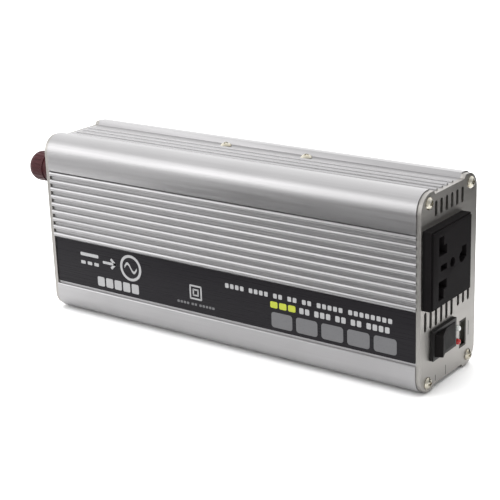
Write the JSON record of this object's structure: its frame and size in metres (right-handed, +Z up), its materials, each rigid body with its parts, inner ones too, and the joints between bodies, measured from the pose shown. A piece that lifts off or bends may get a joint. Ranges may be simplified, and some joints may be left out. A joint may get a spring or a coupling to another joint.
{
  "type": "power inverter",
  "caption": "Power inverter: ribbed aluminium case on edge, end panels, AC outlet, rocker switch, USB socket, lamps, screw terminals with red and black knobs, fan, electronics inside.",
  "frame": {"origin": "on the surface that the inverter stands on, at the middle of its whole footprint, knobs and outlet included", "axes": "+X from the DC end to the AC outlet end, +Y from the labelled wide face to the back, +Z up"},
  "size_m": [0.261, 0.056, 0.1],
  "materials": {
    "case_aluminium": "satin anodised, finely brushed along its length",
    "panel_aluminium": "satin sheet with a fine grain",
    "label_film": "black printed film",
    "screw_steel": "nickel plated",
    "black_plastic": "fine moulded texture",
    "rocker_plastic": "smooth",
    "red_plastic": "dark red moulded plastic",
    "terminal_brass": "turned",
    "copper_strap": "copper",
    "white_plastic": "smooth",
    "clear_lamp": "water-clear with a green tint",
    "red_lamp": "tinted red",
    "board_laminate": "green solder mask",
    "ferrite": "dull sintered",
    "coil_tape": "yellow tape",
    "capacitor_sleeve": "shrink sleeve",
    "chip_epoxy": "moulded epoxy",
    "pad_rubber": "silicone pad",
    "fuse_plastic": "yellow translucent",
    "choke_coating": "yellow coated core",
    "lead_black": "wire insulation",
    "lead_red": "wire insulation"
  },
  "bodies": {
    "case": {"front_shell": "case_aluminium", "back_shell": "case_aluminium", "front_label": "label_film", "ac_panel": "panel_aluminium", "dc_panel": "panel_aluminium", "ac_panel_screws": "screw_steel", "dc_panel_screws": "screw_steel", "clamp_screws": "screw_steel", "outlet_housing": "black_plastic", "outlet_cap": "black_plastic", "outlet_contacts": "terminal_brass", "switch_housing": "black_plastic", "switch_tabs": "terminal_brass", "usb_shell": "screw_steel", "usb_tongue": "white_plastic", "signal_board": "board_laminate", "power_led": "clear_lamp", "fault_led": "red_lamp", "led_legs": "screw_steel", "positive_base": "red_plastic", "negative_base": "black_plastic", "positive_stud": "terminal_brass", "negative_stud": "terminal_brass", "terminal_bushes": "black_plastic", "terminal_nuts": "screw_steel", "positive_strap": "copper_strap", "negative_strap": "copper_strap", "fan_frame": "black_plastic", "fan_guard": "screw_steel", "fan_screws": "screw_steel", "main_board": "board_laminate", "transformer_cores": "ferrite", "transformer_windings": "coil_tape", "input_capacitors": "capacitor_sleeve", "bus_capacitors": "capacitor_sleeve", "transistors": "chip_epoxy", "transistor_pad": "pad_rubber", "clamp_bar": "screw_steel", "fuse_links": "fuse_plastic", "control_board": "board_laminate", "control_chips": "chip_epoxy", "choke_core": "choke_coating", "choke_winding": "copper_strap", "buzzer": "chip_epoxy", "outlet_leads": "lead_black", "switch_leads": "lead_red", "fan_lead": "lead_red"},
    "rocker": {"switch_rocker": "rocker_plastic"},
    "fan_rotor": {"fan_rotor": "black_plastic"},
    "positive_clamp": {"positive_washer": "terminal_brass"},
    "positive_knob": {"positive_knob": "red_plastic", "positive_insert": "terminal_brass"},
    "negative_clamp": {"negative_washer": "terminal_brass"},
    "negative_knob": {"negative_knob": "black_plastic", "negative_insert": "terminal_brass"}
  },
  "joints": [
    {"name": "rocker_tilt", "type": "hinge", "parent": "case", "child": "rocker", "pos_m": [0.125, -0.0069, 0.02365], "axis": [0, 0, -1], "range_deg": [0, 22]},
    {"name": "fan_spin", "type": "hinge", "parent": "case", "child": "fan_rotor", "pos_m": [-0.1024, 0, 0.033], "axis": [-1, 0, 0], "continuous": true},
    {"name": "positive_clamp_slide", "type": "slide", "parent": "case", "child": "positive_clamp", "axis": [-1, 0, 0], "range_m": [0, 0.004]},
    {"name": "positive_knob_turn", "type": "hinge", "parent": "positive_clamp", "child": "positive_knob", "pos_m": [-0.1151, -0.013, 0.078], "axis": [-1, 0, 0], "range_deg": [0, 1440]},
    {"name": "negative_clamp_slide", "type": "slide", "parent": "case", "child": "negative_clamp", "axis": [-1, 0, 0], "range_m": [0, 0.004]},
    {"name": "negative_knob_turn", "type": "hinge", "parent": "negative_clamp", "child": "negative_knob", "pos_m": [-0.1151, 0.013, 0.078], "axis": [-1, 0, 0], "range_deg": [0, 1440]}
  ],
  "couplings": [
    {"joint": "positive_knob_turn", "follows": "positive_clamp_slide", "rad_per_m": 6283.2},
    {"joint": "negative_knob_turn", "follows": "negative_clamp_slide", "rad_per_m": 6283.2}
  ]
}
